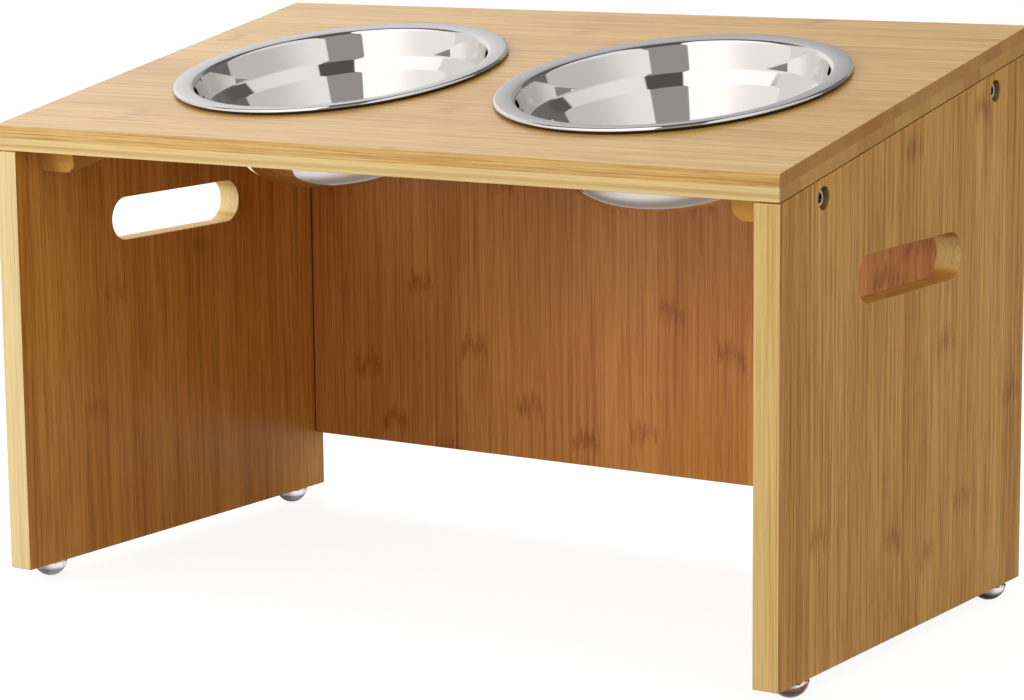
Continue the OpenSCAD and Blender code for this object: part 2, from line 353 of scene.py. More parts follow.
class BambooGrain(Group):
    """Laminated bamboo: strips, plies, fibres, knuckle marks and end grain, in board millimetres.

    The patterns' axes run across, along and through the board. A pair is where a smooth step starts and ends,
    or a factor and what is added after it.
    """

    title = "bamboo_grain"
    inputs = (
        ("Place", "Vector"),
        ("Facing", "Vector"),
        ("Strip Width", "Float"),
        ("Ply", "Float"),
        ("Seed", "Float"),
        ("Fibre", "Float"),
        ("Fineness", "Float"),
        ("Knuckle", "Float"),
        ("Knuckle Pitch", "Float"),
        ("End Tone", "Float"),
        ("Bare", "Float"),
        ("Pale", "Color"),
        ("Warm", "Color"),
        ("Dark", "Color"),
        ("Cut", "Color"),
    )
    outputs = (("Color", "Color"), ("Roughness", "Float"), ("Height", "Float"), ("Face", "Float"))

    turned: Point = (0.6, 0.85)
    stagger = 0.37
    apart: Triple = (400, 900, 400)
    bundles: Pattern = ((0.16, 0.004, 0.16), 2.0, 0.6)
    threads: Pattern = ((0.42, 0.009, 0.42), 4.0, 0.85)
    hairs: Pattern = ((0.85, 0.006, 0.85), 1.0, 0.5)
    clouds: Pattern = ((0.012, 0.004, 0.012), 2.0, 0.5)
    jitters: Pattern = ((0.6, 0.02, 0.6), 2.0, 0.6)
    strokes: Pattern = ((1.0, 0.06, 1.0), 2.0, 0.6)
    pores: Pattern = ((1.6, 0.02, 1.6), 1.0, 0.5)
    edge_fineness = 0.5
    knuckle_bow = 16.0
    knuckle_scatter = 30.0
    dash_length: Ramp = (1.0, 10.0, 1.0, 0.0)
    dash_strokes: Point = (0.38, 0.56)
    line_width: Ramp = (0.0, 1.6, 1.0, 0.0)
    line_share = 0.3
    strip_inside: Ramp = (0.46, 0.5, 1.0, 0.0)
    tone_share = 0.7
    cloud_share: Point = (0.4, -0.1)
    even_bare = 0.9
    hair_streaks: Point = (0.6, 0.74)
    hair_share = 0.6
    thread_streaks: Point = (0.38, 0.72)
    edge_streaks: Point = (1.1, -0.6)
    end_streaks: Point = (-0.85, 1.0)
    seam_width: Ramp = (0.05, 0.35, 1.0, 0.0)
    seam_share = 0.35
    block_pores: Point = (0.1, 0.46)
    block_cast = -0.28
    block_odd = 0.18
    thread_gloss: Point = (0.2, 0.3)
    end_gloss = 0.12
    heights: Triple = (0.6, 0.5, 0.4)

    def draw(self, sheet: NodeSheet, given: Sockets) -> dict[str, Socket]:
        """Draws the strips, then the fibres, then the marks, and mixes their colours.

        Args:
            sheet: the group's sheet.
            given: the group's inputs by name.

        Returns:
            The colour, roughness and height, and a mask of the board's wide faces.
        """
        across, along, deep = sheet.parts(given["Place"])
        facing = [sheet.math("ABSOLUTE", part) for part in sheet.parts(given["Facing"])]
        edge = sheet.span(facing[0], *self.turned)
        end = sheet.span(facing[1], *self.turned)

        # Each strip has its own tone and its own stretch of fibres
        ply = sheet.math("FLOOR", sheet.math("DIVIDE", deep, given["Ply"]))
        odd = sheet.math("MULTIPLY", sheet.math("FRACT", sheet.math("MULTIPLY", ply, 0.5)), 2.0)
        row = sheet.math("DIVIDE", across, given["Strip Width"])
        row = sheet.math("ADD", row, sheet.math("MULTIPLY_ADD", ply, self.stagger, given["Seed"]))
        centred = sheet.math("SUBTRACT", sheet.math("FRACT", row), 0.5)
        beside = sheet.math("ABSOLUTE", centred)
        drawn = sheet.node("ShaderNodeTexWhiteNoise", noise_dimensions="3D")
        sheet.feed(drawn.inputs["Vector"], sheet.joined(sheet.math("FLOOR", row), ply, given["Seed"]))
        tone, slide, cast = sheet.parts(drawn.outputs["Color"])
        moved = sheet.vector("MULTIPLY", drawn.outputs["Color"], self.apart)
        moved = sheet.vector("ADD", given["Place"], moved)

        # Fibres run along the strip in coarse bundles, fine threads and a few hairlines
        bundle = sheet.noise(moved, *self.bundles)
        finer = sheet.math("MULTIPLY_ADD", edge, self.edge_fineness, 1.0)
        finer = sheet.math("MULTIPLY", given["Fineness"], finer)
        fine = sheet.vector("MULTIPLY", moved, sheet.joined(finer, 1.0, finer))
        thread = sheet.noise(fine, *self.threads)
        hair = sheet.noise(fine, *self.hairs)
        cloud = sheet.noise(given["Place"], *self.clouds)

        # Knuckles: once in a pitch the strip carries a bowed row of short dark dashes
        bow = sheet.math("MULTIPLY", sheet.math("MULTIPLY", centred, centred), self.knuckle_bow)
        offset = sheet.math("MULTIPLY_ADD", slide, given["Knuckle Pitch"], bow)
        half = sheet.math("MULTIPLY", given["Knuckle Pitch"], 0.5)
        gap = sheet.math("WRAP", sheet.math("ADD", along, offset), half, sheet.math("MULTIPLY", half, -1.0))
        jitter = sheet.noise(moved, *self.jitters)
        jitter = sheet.math("MULTIPLY_ADD", jitter, self.knuckle_scatter, -self.knuckle_scatter / 2)
        reach = sheet.math("ABSOLUTE", sheet.math("ADD", gap, jitter))
        stroke = sheet.span(sheet.noise(moved, *self.strokes), *self.dash_strokes)
        dash = sheet.math("MULTIPLY", sheet.span(reach, *self.dash_length), stroke)
        line = sheet.span(sheet.math("ABSOLUTE", gap), *self.line_width)
        mark = sheet.math("MAXIMUM", dash, sheet.math("MULTIPLY", line, self.line_share))
        inner = sheet.span(beside, *self.strip_inside)
        inner = sheet.math("MULTIPLY", inner, sheet.math("SUBTRACT", 1.0, edge))
        mark = sheet.math("MULTIPLY", sheet.math("MULTIPLY", mark, inner), given["Knuckle"])

        # Colour: strip tone, bundles and clouds, then the freshly cut edges and ends
        share = sheet.math("MULTIPLY_ADD", tone, self.tone_share, sheet.math("SUBTRACT", bundle, 0.5))
        share = sheet.math("ADD", share, sheet.math("MULTIPLY_ADD", cloud, *self.cloud_share))
        share = sheet.math("MINIMUM", sheet.math("MAXIMUM", share, 0.0), 1.0)
        colour = sheet.mixed(share, given["Pale"], given["Warm"])
        bare = sheet.math("SUBTRACT", given["Bare"], self.even_bare)
        bare = sheet.math("MULTIPLY_ADD", odd, bare, self.even_bare)
        fresh = sheet.math("MULTIPLY", end, sheet.math("SUBTRACT", given["Bare"], given["End Tone"]))
        fresh = sheet.math("MAXIMUM", fresh, sheet.math("MULTIPLY", edge, bare))
        colour = sheet.mixed(fresh, colour, given["Cut"])

        # A brown stain darkens the threads, the marks, the seams and the end grain
        streak = sheet.span(hair, *self.hair_streaks)
        streak = sheet.math("MULTIPLY_ADD", streak, self.hair_share, sheet.span(thread, *self.thread_streaks))
        cleaned = sheet.math("MULTIPLY", odd, sheet.math("SUBTRACT", 1.0, given["Bare"]))
        cleaned = sheet.math("MULTIPLY_ADD", cleaned, *self.edge_streaks)
        calm = sheet.math("MULTIPLY_ADD", end, *self.end_streaks)
        calm = sheet.math("MULTIPLY_ADD", edge, cleaned, calm)
        streak = sheet.math("MULTIPLY", sheet.math("MULTIPLY", streak, calm), given["Fibre"])
        seam = sheet.math("MULTIPLY", sheet.math("SUBTRACT", 0.5, beside), given["Strip Width"])
        seam = sheet.span(seam, *self.seam_width)
        block = sheet.math("MULTIPLY_ADD", sheet.noise(moved, *self.pores), *self.block_pores)
        block = sheet.math("MULTIPLY_ADD", cast, self.block_cast, block)
        block = sheet.math("MULTIPLY_ADD", odd, self.block_odd, block)
        block = sheet.math("MULTIPLY", sheet.math("MULTIPLY", end, block), given["End Tone"])
        for stain in (streak, mark, sheet.math("MULTIPLY", seam, self.seam_share), block):
            colour = sheet.mixed(stain, colour, given["Dark"], "MULTIPLY")

        rough = sheet.math("MULTIPLY_ADD", thread, *self.thread_gloss)
        rough = sheet.math("ADD", rough, sheet.math("MULTIPLY", end, self.end_gloss))
        raised, *sunk = (sheet.math("MULTIPLY", *pair) for pair in zip((thread, seam, mark), self.heights))
        for depth in sunk:
            raised = sheet.math("SUBTRACT", raised, depth)
        wide = sheet.math("SUBTRACT", 1.0, sheet.math("MAXIMUM", edge, end))
        return {"Color": colour, "Roughness": rough, "Height": raised, "Face": wide}


class MetalPolish(Group):
    """Fine turned lines and handling haze on metal, in millimetres from the piece's own axis."""

    title = "metal_polish"
    inputs = (("Place", "Vector"), ("Roughness", "Float"), ("Haze", "Float"))
    outputs = (("Roughness", "Float"), ("Height", "Float"), ("Shade", "Float"))

    lines: Pattern = ((3.0, 3.0, 1.0), 3.0, 0.7)
    clouds: Pattern = ((0.05, 0.05, 0.05), 3.0, 0.6)
    cloud_reach: Point = (0.35, 0.75)
    line_gloss: Point = (0.02, -0.01)
    line_shade: Point = (0.5, 0.5)

    def draw(self, sheet: NodeSheet, given: Sockets) -> dict[str, Socket]:
        """Draws turned lines round the axis and a soft haze.

        Args:
            sheet: the group's sheet.
            given: the group's inputs by name.

        Returns:
            The roughness, the height and a faint shade.
        """
        x, y, z = sheet.parts(given["Place"])
        radius = sheet.vector("LENGTH", sheet.joined(x, y, 0.0))
        turned = sheet.noise(sheet.joined(radius, z, 0.0), *self.lines)
        haze = sheet.span(sheet.noise(given["Place"], *self.clouds), *self.cloud_reach)
        spread = sheet.math("MULTIPLY_ADD", haze, given["Haze"], given["Roughness"])
        rough = sheet.math("ADD", spread, sheet.math("MULTIPLY_ADD", turned, *self.line_gloss))
        shade = sheet.math("MULTIPLY_ADD", turned, *self.line_shade)
        return {"Roughness": rough, "Height": turned, "Shade": shade}


GRAIN = BambooGrain()
POLISH = MetalPolish()


def new_material(name: str) -> tuple[Material, NodeSheet, Sockets, Sockets]:
    """Starts a material with one Principled shader.

    Args:
        name: the material's name.

    Returns:
        The material, its sheet, its shader's inputs and its texture coordinates.
    """
    material = bpy.data.materials.new(name)
    material.use_nodes = True
    sheet = NodeSheet(material.node_tree)
    shader = material.node_tree.nodes["Principled BSDF"]
    return material, sheet, shader.inputs, sheet.node("ShaderNodeTexCoord").outputs


def dimmed(colour: Colour, share: float) -> Colour:
    """A colour with only a share of its light."""
    return tuple(share * part for part in colour[:3]) + (1.0,)


def board_turn(grain: Grain, slope: float) -> Matrix:
    """Finds the rotation from the stand's axes to a board's own axes.

    Args:
        grain: which way the strips run.
        slope: the top board's slope in radians.

    Returns:
        Rows that point across the strips, along them and through the board.
    """
    sine, cosine = math.sin(slope), math.cos(slope)
    rows = {
        Grain.ACROSS_TOP: ((0, -cosine, -sine), (1, 0, 0), (0, -sine, cosine)),
        Grain.UP_SIDE: ((0, 1, 0), (0, 0, 1), (1, 0, 0)),
        Grain.UP_BACK: ((1, 0, 0), (0, 0, 1), (0, -1, 0)),
        Grain.ALONG_SLOPE: ((0, sine, -cosine), (0, cosine, sine), (1, 0, 0)),
    }
    return Matrix(rows[grain])


@dataclass(frozen=True)
class BambooFinish:
    """Clear-lacquered laminated bamboo; widths and pitches are in millimetres."""

    name: str
    seed: float
    pale: Colour = (0.86, 0.50, 0.145, 1.0)
    warm: Colour = (0.70, 0.355, 0.08, 1.0)
    dark: Colour = (0.48, 0.34, 0.14, 1.0)
    cut: Colour = (0.88, 0.67, 0.30, 1.0)
    strip_width: float = 21.0
    ply: float = 8.0
    fibre: float = 0.85
    fineness: float = 1.0
    knuckle: float = 0.4
    knuckle_pitch: float = 900.0
    end_tone: float = 1.0
    bare: float = 0.8
    gloss: float = 0.3
    lacquer: float = 0.0
    lacquer_roughness: float = 0.3
    lead: float = 0.5
    relief: float = 0.06
    bump_distance: float = 0.4 * MM

    def material(self, grain: Grain, slope: float, corner: Vector) -> Material:
        """Makes the finish for one board.

        Args:
            grain: which way the board's strips run.
            slope: the top board's slope in radians.
            corner: a point of the board where its plies start.

        Returns:
            The material.
        """
        material, sheet, shader, coordinates = new_material(self.name)
        turn = board_turn(grain, slope)
        shift = -(turn @ corner) * PER_METRE + Vector((0, 0, self.lead))
        facing = sheet.node("ShaderNodeMapping", vector_type="VECTOR")
        facing.inputs["Rotation"].default_value = turn.to_euler("XYZ")
        sheet.feed(facing.inputs["Vector"], coordinates["Normal"])
        drawn = GRAIN.put(
            sheet,
            Place=sheet.mapped(coordinates["Object"], turn, shift),
            Facing=facing.outputs[0],
            Strip_Width=self.strip_width,
            Ply=self.ply,
            Seed=self.seed,
            Fibre=self.fibre,
            Fineness=self.fineness,
            Knuckle=self.knuckle,
            Knuckle_Pitch=self.knuckle_pitch,
            End_Tone=self.end_tone,
            Bare=self.bare,
            Pale=self.pale,
            Warm=self.warm,
            Dark=self.dark,
            Cut=self.cut,
        )
        bump = sheet.node("ShaderNodeBump")
        bump.inputs["Strength"].default_value = self.relief
        bump.inputs["Distance"].default_value = self.bump_distance
        sheet.feed(bump.inputs["Height"], drawn["Height"])
        shader["Specular IOR Level"].default_value = self.gloss
        if self.lacquer:
            sheet.feed(shader["Coat Weight"], sheet.math("MULTIPLY", drawn["Face"], self.lacquer))
            shader["Coat Roughness"].default_value = self.lacquer_roughness
        sheet.feed(shader["Base Color"], drawn["Color"])
        sheet.feed(shader["Roughness"], drawn["Roughness"])
        sheet.feed(shader["Normal"], bump.outputs[0])
        return material


@dataclass(frozen=True)
class BowlSteel:
    """Polished stainless steel with a satin rim, a bright rolled lip and painted shade on the lip's
    underside; reaches are in millimetres.
    """

    name: str = "bowl_steel"
    colour: Colour = (0.80, 0.79, 0.78, 1.0)
    rim_colour: Colour = (0.74, 0.75, 0.78, 1.0)
    # Painted shade: the near-black colour of the rolled lip's underside
    lip_shade_colour: Colour = (0.06, 0.045, 0.035, 1.0)
    line_shade: float = 0.97
    polished: float = 0.03
    satin: float = 0.2
    haze: float = 0.015
    rim_reach: Point = (88.2, 89.6)
    lip_reach: Ramp = (98.2, 98.9, 1.0, 0.0)
    lip_shade_reach: Point = (96.2, 96.8)
    lip_shade_height: Ramp = (1.75, 2.25, 1.0, 0.0)

    def material(self, place: Matrix) -> Material:
        """Makes the finish for both bowls.

        Args:
            place: the right bowl's place, from its own axes to the stand's.

        Returns:
            The material.
        """
        material, sheet, shader, coordinates = new_material(self.name)
        x, y, z = sheet.parts(coordinates["Object"])
        folded = sheet.joined(sheet.math("ABSOLUTE", x), y, z)
        back = place.inverted()
        local = sheet.mapped(folded, back, back.translation * PER_METRE)
        own_x, own_y, own_z = sheet.parts(local)
        radius = sheet.vector("LENGTH", sheet.joined(own_x, own_y, 0.0))
        brushed = sheet.math(
            "MULTIPLY", sheet.span(radius, *self.rim_reach), sheet.span(radius, *self.lip_reach)
        )
        # Painted shade: the lower half of the rolled lip is tinted near-black for the shade in the gap
        # beneath it
        under = sheet.math(
            "MULTIPLY", sheet.span(own_z, *self.lip_shade_height), sheet.span(radius, *self.lip_shade_reach)
        )
        rough = sheet.math("MULTIPLY_ADD", brushed, self.satin - self.polished, self.polished)
        drawn = POLISH.put(sheet, Place=local, Roughness=rough, Haze=self.haze)
        tint = sheet.mixed(drawn["Shade"], dimmed(self.colour, self.line_shade), self.colour)
        tint = sheet.mixed(brushed, tint, self.rim_colour)
        tint = sheet.mixed(under, tint, self.lip_shade_colour)
        shader["Metallic"].default_value = 1.0
        sheet.feed(shader["Base Color"], tint)
        sheet.feed(shader["Roughness"], drawn["Roughness"])
        return material


@dataclass(frozen=True)
class FastenerMetal:
    """Plated or plain metal of the small fasteners; the reach of the painted socket shade is in millimetres.
    """

    name: str
    colour: Colour
    roughness: float = 0.28
    metallic: float = 1.0
    haze: float = 0.12
    line_shade: float = 0.82
    socket_shade_reach: Ramp = (2.7, 2.95, 1.0, 0.0)
    socket_shade_colour: Colour = (0.02, 0.012, 0.014, 1.0)

    def material(self, sockets: Iterable[Vector] = ()) -> Material:
        """Makes the finish, with turned lines and a little haze, and painted shade inside the sockets.

        Args:
            sockets: the middles of the screws whose sockets lie along the width.

        Returns:
            The material.
        """
        material, sheet, shader, coordinates = new_material(self.name)
        local = sheet.mapped(coordinates["Object"], Matrix.Identity(3))
        drawn = POLISH.put(sheet, Place=local, Roughness=self.roughness, Haze=self.haze)
        tint = sheet.mixed(drawn["Shade"], dimmed(self.colour, self.line_shade), self.colour)
        # Painted shade: near-black inside the hex sockets, where only shade falls
        for middle in sockets:
            off = sheet.vector("SUBTRACT", local, middle * PER_METRE)
            reach = sheet.vector("LENGTH", sheet.vector("MULTIPLY", off, (0.0, 1.0, 1.0)))
            tint = sheet.mixed(sheet.span(reach, *self.socket_shade_reach), tint, self.socket_shade_colour)
        shader["Metallic"].default_value = self.metallic
        sheet.feed(shader["Base Color"], tint)
        sheet.feed(shader["Roughness"], drawn["Roughness"])
        return material


@dataclass(frozen=True)
class ClearFoot:
    """Clear soft polyurethane of the stick-on feet."""

    name: str = "clear_foot"
    clear: Colour = (0.93, 0.95, 0.96, 1.0)
    # Painted shade: a dark band at half height stands in for the dark surroundings seen through the clear
    # dome
    deep: Colour = (0.10, 0.10, 0.11, 1.0)
    shade_band_height: float = 3.4 * MM
    shade_band_reach: Point = (1.0 * MM, 3.2 * MM)
    ripples: Pattern = ((260.0, 260.0, 260.0), 2.0, 0.5)
    ripple_gloss: Point = (0.08, 0.02)
    index: float = 1.47

    def material(self) -> Material:
        """Makes the finish, with a painted dark band of shade at half height and a faint unevenness in its
        gloss.

        Returns:
            The material.
        """
        material, sheet, shader, coordinates = new_material(self.name)
        height = sheet.parts(coordinates["Object"])[2]
        # Painted shade: darkest at the band's height, clear above and below it
        off = sheet.math("ABSOLUTE", sheet.math("SUBTRACT", height, self.shade_band_height))
        ripple = sheet.noise(coordinates["Object"], *self.ripples)
        tone = sheet.mixed(sheet.span(off, *self.shade_band_reach), self.deep, self.clear)
        sheet.feed(shader["Base Color"], tone)
        sheet.feed(shader["Roughness"], sheet.math("MULTIPLY_ADD", ripple, *self.ripple_gloss))
        shader["Transmission Weight"].default_value = 1.0
        shader["IOR"].default_value = self.index
        return material


@dataclass(frozen=True)
class Slope:
    """The top board's tilt and the middle of its underside."""

    angle: float
    middle_z: float
    thickness: float

    @classmethod
    def measured(cls) -> "Slope":
        """Reads the tilt from the bowls' lift and the rest from the top board's box.

        Returns:
            The slope.
        """
        axis = Vector(frame["joints"][0]["axis"])
        angle = math.atan2(-axis.y, axis.z)
        low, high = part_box("top_panel")
        rise = (high.y - low.y) * math.tan(angle)
        return cls(angle, low.z + rise / 2, (high.z - low.z - rise) * math.cos(angle))

    @property
    def place(self) -> Matrix:
        """The underside's axes: across, up the slope and square to the board."""
        return Matrix.Translation((0, 0, self.middle_z)) @ Matrix.Rotation(self.angle, 4, "X")

    def underside(self, y: float) -> float:
        """The underside's height at a depth."""
        return self.middle_z + y * math.tan(self.angle)


@dataclass
class Piece:
    """One piece of the scene: what it rides on and stands for, and the name of a finish slot that nothing
    reads.
    """

    name: str
    body: str
    slot: str
    nodes: tuple[str, ...]
    weighted: bool = True
    sheet_thickness: float = 0.0

    def add(self, form: Form, *materials: Material) -> Object:
        """Makes the object from a finished form and ties it to the stand.

        Args:
            form: the form, in its place.
            materials: its finishes, in the order that the faces number them.

        Returns:
            The object.
        """
        mesh = bpy.data.meshes.new(self.name)
        form.to_mesh(mesh)
        form.free()
        for material in materials:
            mesh.materials.append(material)
        mesh.polygons.foreach_set("use_smooth", [True] * len(mesh.polygons))
        mesh.set_sharp_from_angle(angle=SMOOTH_LIMIT)
        made = bpy.data.objects.new(self.name, mesh)
        bpy.context.scene.collection.objects.link(made)
        if self.sheet_thickness:
            wall = made.modifiers.new("sheet", "SOLIDIFY")
            wall.thickness = self.sheet_thickness
            wall.offset = 0.0
        if self.weighted:
            made.modifiers.new("flat_faces", "WEIGHTED_NORMAL").keep_sharp = True
        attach(made, self.body)
        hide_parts(*self.nodes)
        LOG.info("%s rides on %s with %d faces", self.name, self.body, len(mesh.polygons))
        return made


def only(kind: type, items: Iterable[object]) -> list:
    """The items of one kind."""
    return [item for item in items if isinstance(item, kind)]


def box_middle(node: str) -> Vector:
    """The middle of a node's box."""
    low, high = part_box(node)
    return (low + high) / 2


def mirrored(side: Side) -> Matrix:
    """The reflection that turns a right piece into one of the given side."""
    return Matrix.Scale(side.value, 4, (1, 0, 0))


def round_off(form: Form, edges: Iterable[Edge], size: float, steps: int = 3) -> None:
    """Rounds edges off.

    Args:
        form: the form.
        edges: the edges to round.
        size: the width taken off each side.
        steps: the faces across the rounding.
    """
    bmesh.ops.bevel(
        form,
        geom=list(edges),
        offset=size,
        offset_type="OFFSET",
        segments=steps,
        profile=0.5,
        affect="EDGES",
        clamp_overlap=True,
        material=-1,
    )


def spin_round(form: Form, steps: int) -> None:
    """Spins a half section once round the upright axis and joins its seam and poles.

    Args:
        form: the half section.
        steps: the faces round the turn.
    """
    bmesh.ops.spin(
        form,
        geom=form.verts[:] + form.edges[:],
        cent=(0, 0, 0),
        axis=(0, 0, 1),
        angle=math.tau,
        steps=steps,
        use_merge=True,
    )
    bmesh.ops.remove_doubles(form, verts=form.verts[:], dist=TOUCH)


def settle(form: Form, place: Matrix) -> None:
    """Moves a form to its place and turns its faces outwards.

    Args:
        form: the form.
        place: the form's place in the stand.
    """
    form.transform(place)
    # The faces are turned by their normals, which a move leaves as they were
    form.normal_update()
    bmesh.ops.recalc_face_normals(form, faces=form.faces[:])
    form.normal_update()


@dataclass
class Opening:
    """A hole in a board: round, or drawn out into a slot; a depth makes it blind."""

    x: float
    y: float
    radius: float
    stretch: float = 0.0
    depth: float = 0.0
    floor_radius: float = 0.0
    steps: int = 64
    margin: float = 1.01

    def loop(self, form: Form, z: float) -> list[Edge]:
        """Adds the hole's outline.

        Args:
            form: the board's form.
            z: the height of the outline.

        Returns:
            The outline's edges.
        """
        half_step = Matrix.Rotation(math.pi / self.steps, 4, "Z")
        place = Matrix.Translation((self.x, self.y, z)) @ half_step
        ring = bmesh.ops.create_circle(form, segments=self.steps, radius=self.radius, matrix=place)["verts"]
        for way in (-1, 1):
            half = [vert for vert in ring if (vert.co.x - self.x) * way > 0]
            bmesh.ops.translate(form, verts=half, vec=(way * self.stretch / 2, 0, 0))
        return list({edge for vert in ring for edge in vert.link_edges})

    def holds(self, point: Vector) -> bool:
        """Tells whether a point lies inside the hole's outline or on it.

        Args:
            point: a point on the board.

        Returns:
            True where it does.
        """
        beyond = max(0.0, abs(point.x - self.x) - self.stretch / 2)
        return math.hypot(beyond, point.y - self.y) < self.radius * self.margin


@dataclass
class Ease:
    """How far a board's edges are rounded off."""

    corner: float = 0.8 * MM
    face: float = 0.8 * MM
    rear: float = 0.8 * MM
    hole: float = 0.4 * MM


@dataclass
class Board:
    """A flat board between two outlines, with holes and eased edges, and its place in the stand."""

    rear: list[Point]
    face: list[Point]
    thickness: float
    place: Matrix
    through: list[Opening] = field(default_factory=list)
    blind: list[Opening] = field(default_factory=list)
    ease: Ease = field(default_factory=Ease)

    def sharp(self, form: Form, test: Callable[[Edge], bool]) -> list[Edge]:
        """Finds sharp edges.

        Args:
            form: the board's form.
            test: which of them to take.

        Returns:
            The edges.
        """
        return [
            edge
            for edge in form.edges
            if len(edge.link_faces) == 2 and edge.calc_face_angle() > SHARP_LIMIT and test(edge)
        ]

    def on_level(self, edge: Edge, z: float, hole: bool) -> bool:
        """Tells whether an edge lies on one face of the board, round a hole or round the outline.

        Args:
            edge: the edge.
            z: the face's height.
            hole: True for a hole's edge.

        Returns:
            True where it does.
        """
        if any(abs(vert.co.z - z) > TOUCH for vert in edge.verts):
            return False
        middle = (edge.verts[0].co + edge.verts[1].co) / 2
        return hole == any(opening.holds(middle) for opening in self.through + self.blind)

    def solid(self) -> Form:
        """Builds the board with square edges, in its own axes.

        Returns:
            The form.
        """
        form = bmesh.new()
        corners = [form.verts.new((x, y, 0.0)) for x, y in self.rear]
        loops = [form.edges.new((vert, corners[index - 1])) for index, vert in enumerate(corners)]
        for opening in self.through:
            loops += opening.loop(form, 0.0)
        bmesh.ops.triangle_fill(form, edges=loops, use_beauty=True)
        raised = bmesh.ops.extrude_edge_only(form, edges=loops)["geom"]
        lifted = only(Vert, raised)
        rims = only(Edge, raised)
        bmesh.ops.translate(form, verts=lifted, vec=(0, 0, self.thickness))
        for vert in lifted:
            for start, goal in zip(self.rear, self.face):
                if math.dist(start, vert.co.xy) < TOUCH:
                    vert.co.xy = goal
                    break
        for opening in self.blind:
            ring = opening.loop(form, self.thickness)
            rims += ring
            sunk = bmesh.ops.extrude_edge_only(form, edges=ring)["geom"]
            floor = only(Vert, sunk)
            bmesh.ops.translate(form, verts=floor, vec=(0, 0, -opening.depth))
            if opening.floor_radius:
                share = opening.floor_radius / opening.radius
                middle = Matrix.Translation((-opening.x, -opening.y, 0))
                bmesh.ops.scale(form, verts=floor, vec=(share, share, 1), space=middle)
            bmesh.ops.edgeloop_fill(form, edges=only(Edge, sunk))
        bmesh.ops.triangle_fill(form, edges=rims, use_beauty=True)
        bmesh.ops.dissolve_limit(form, angle_limit=FLAT_LIMIT, verts=form.verts[:], edges=form.edges[:])
        bmesh.ops.recalc_face_normals(form, faces=form.faces[:])
        return form

    def form(self) -> Form:
        """Builds the board, eases its edges and puts it in its place.

        Returns:
            The form.
        """
        form = self.solid()
        top = self.thickness
        upright = self.sharp(form, lambda edge: abs(edge.verts[0].co.z - edge.verts[1].co.z) > top / 2)
        round_off(form, upright, self.ease.corner)
        for level, outline in ((top, self.ease.face), (0.0, self.ease.rear)):
            round_off(form, self.sharp(form, lambda edge: self.on_level(edge, level, False)), outline)
            rims = self.sharp(form, lambda edge: self.on_level(edge, level, True))
            if rims:
                round_off(form, rims, self.ease.hole, 2)
        # Faces in blind holes take the second finish; on the side panels that is the bores' painted shade
        for face in form.faces:
            face.material_index = any(hole.holds(face.calc_center_median()) for hole in self.blind)
        settle(form, self.place)
        return form


@dataclass
class TopBoard:
    """The sloped top board with its two round cut-outs."""

    slope: Slope
    bowl_pitch: float = 228 * MM
    cutout_radius: float = 89.9 * MM
    cutout_steps: int = 128
    ease: Ease = field(default_factory=lambda: Ease(1.0 * MM, 1.3 * MM, 0.8 * MM, 0.5 * MM))
    finish: BambooFinish = BambooFinish(
        "bamboo_top",
        seed=3.0,
        pale=(0.84, 0.56, 0.177, 1.0),
        warm=(0.70, 0.418, 0.104, 1.0),
        dark=(0.50, 0.28, 0.13, 1.0),
        ply=7.75,
        fibre=0.75,
        fineness=1.7,
        knuckle=0.5,
        knuckle_pitch=800.0,
        bare=0.2,
        gloss=0.5,
        lacquer=1.0,
    )

    def build(self) -> Object:
        """Builds and dresses the board.

        Returns:
            The board.
        """
        low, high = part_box("top_panel")
        run = high.y / math.cos(self.slope.angle)
        lean = self.slope.thickness * math.tan(self.slope.angle)
        outline = [(low.x, -run), (high.x, -run), (high.x, run), (low.x, run)]
        half = self.bowl_pitch / 2
        board = Board(
            rear=outline,
            face=[(x, y + lean) for x, y in outline],
            thickness=self.slope.thickness,
            place=self.slope.place,
            through=[
                Opening(side.value * half, 0, self.cutout_radius, steps=self.cutout_steps) for side in Side
            ],
            ease=self.ease,
        )
        corner = Vector((0, 0, self.slope.middle_z))
        material = self.finish.material(Grain.ACROSS_TOP, self.slope.angle, corner)
        return Piece("top_board", "stand", "bamboo_top", ("top_panel",)).add(board.form(), material)


